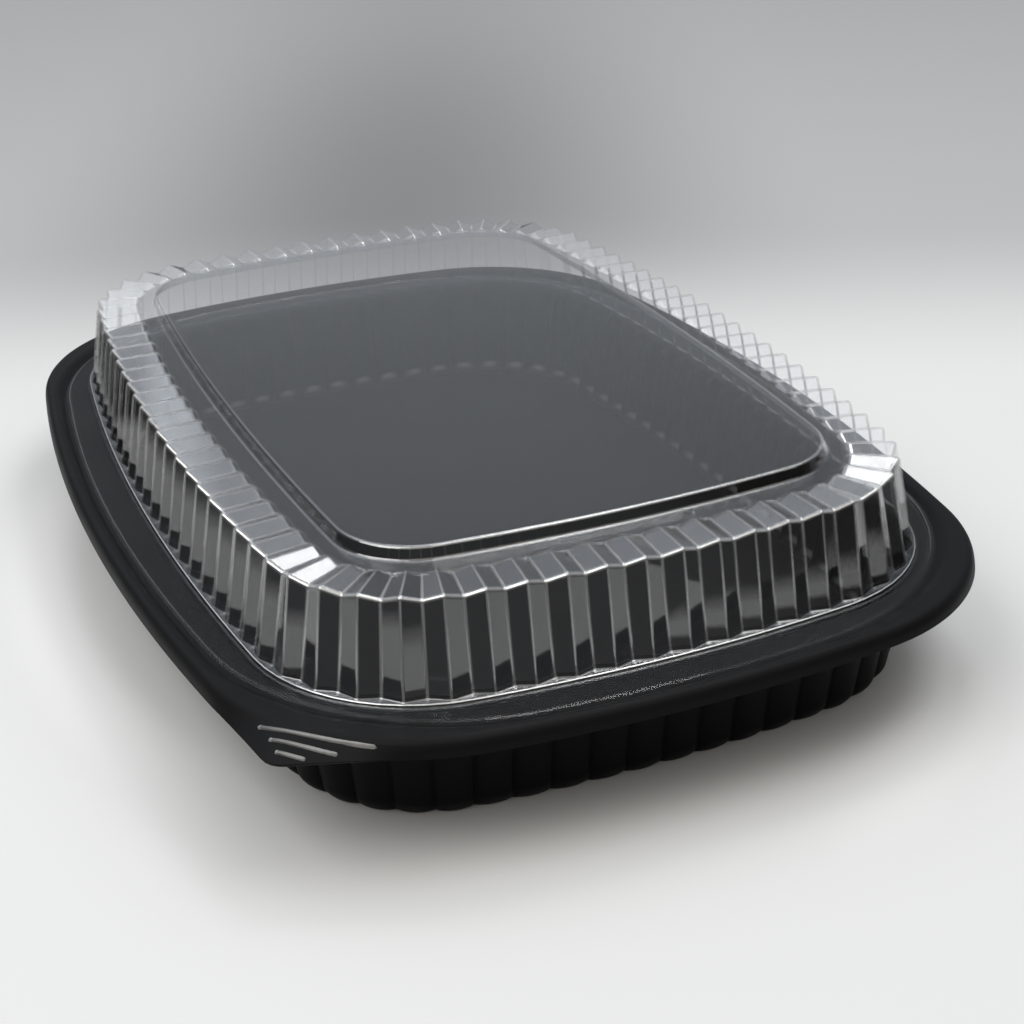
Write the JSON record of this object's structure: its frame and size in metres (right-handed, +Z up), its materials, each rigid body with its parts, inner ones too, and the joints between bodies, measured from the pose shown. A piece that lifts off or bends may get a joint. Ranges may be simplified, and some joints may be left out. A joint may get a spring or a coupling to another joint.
{
  "type": "takeaway meal container",
  "caption": "Empty rectangular takeaway tray with tapered fluted walls and a wide rolled rim, closed by a clear fluted dome lid.",
  "frame": {"origin": "centre of the tray's underside, on the surface that it stands on", "axes": "+Z up, long sides along Y, short sides along X, the ribbed lifting tab at the -X -Y corner"},
  "size_m": [0.214, 0.3, 0.0592],
  "materials": {
    "tray_black": "black formed plastic sheet, satin",
    "lid_clear": "clear glossy formed plastic sheet"
  },
  "bodies": {
    "root": {"tray": "tray_black", "lid": "lid_clear"}
  },
  "joints": []
}
